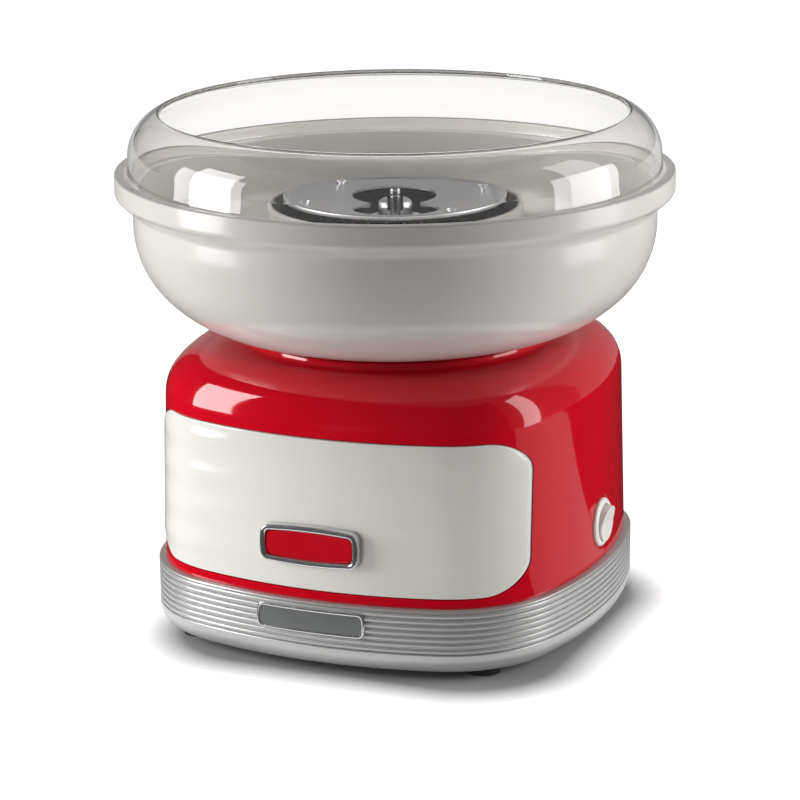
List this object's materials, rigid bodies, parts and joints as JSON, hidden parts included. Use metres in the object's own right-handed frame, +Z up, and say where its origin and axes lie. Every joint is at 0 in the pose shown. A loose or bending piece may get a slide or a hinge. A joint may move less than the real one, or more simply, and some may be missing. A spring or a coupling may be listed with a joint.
{
  "type": "cotton candy machine",
  "caption": "Table-top cotton candy machine: square base with panel and ribbed skirt, round catch bowl, clear guard ring and spun floss head on a motor shaft.",
  "frame": {"origin": "on the table under the motor shaft, at the middle of the machine's footprint", "axes": "+Z up along the motor shaft; -Y out of the front panel; +X to the side with the switch"},
  "size_m": [0.28, 0.28, 0.2602],
  "materials": {
    "red_shell": "gloss",
    "cream_panel": "gloss",
    "chrome_trim": "polished",
    "silver_skirt": "satin silver paint",
    "black_plastic": "satin",
    "black_rubber": "matt",
    "white_plastic": "gloss",
    "zinc_steel": "zinc plated",
    "bright_steel": "ground",
    "bronze": "sintered",
    "ceramic": "matt",
    "spun_aluminium": "polished, spun",
    "clear_plastic": "clear"
  },
  "bodies": {
    "base": {"base_housing": "red_shell", "front_panel": "cream_panel", "badge_bezel": "chrome_trim", "badge_insert": "red_shell", "base_skirt": "silver_skirt", "name_plate": "silver_skirt", "bottom_plate": "black_plastic", "foot_front_right": "black_rubber", "foot_front_left": "black_rubber", "foot_rear_left": "black_rubber", "foot_rear_right": "black_rubber", "switch_bezel": "white_plastic", "switch_body": "white_plastic", "switch_terminals": "zinc_steel", "cord_gland": "black_rubber", "motor_can": "zinc_steel", "motor_end_bell": "black_plastic", "motor_bracket": "zinc_steel", "motor_mounts": "black_rubber", "motor_screws": "zinc_steel", "base_screws": "zinc_steel", "tower_screws": "zinc_steel", "heater_tower": "black_plastic", "heater_cup": "bright_steel", "heater_element": "zinc_steel", "ceramic_posts": "ceramic", "thermal_cutout": "black_plastic", "shaft_bush": "bronze"},
    "spindle": {"motor_shaft": "bright_steel", "drive_pin": "bright_steel", "grip_ring": "black_rubber", "cooling_fan": "black_plastic"},
    "floss_head": {"head_top_plate": "spun_aluminium", "emitter_band": "spun_aluminium", "head_bottom_pan": "spun_aluminium", "head_hub": "spun_aluminium", "head_rivets": "spun_aluminium"},
    "bowl": {"catch_bowl": "white_plastic"},
    "guard": {"guard_ring": "clear_plastic"},
    "rocker": {"switch_rocker": "white_plastic"}
  },
  "joints": [
    {"name": "shaft_spin", "type": "hinge", "parent": "base", "child": "spindle", "pos_m": [0, 0, 0.1], "axis": [0, 0, 1], "continuous": true},
    {"name": "head_lift", "type": "slide", "parent": "spindle", "child": "floss_head", "axis": [0, 0, 1], "range_m": [0, 0.06]},
    {"name": "bowl_lift", "type": "slide", "parent": "base", "child": "bowl", "axis": [0, 0, 1], "range_m": [0, 0.15]},
    {"name": "guard_lift", "type": "slide", "parent": "bowl", "child": "guard", "axis": [0, 0, 1], "range_m": [0, 0.08]},
    {"name": "rocker_tip", "type": "hinge", "parent": "base", "child": "rocker", "pos_m": [0.1103, 0.003, 0.056], "axis": [0, 1, 0], "range_deg": [-16, 0]}
  ]
}
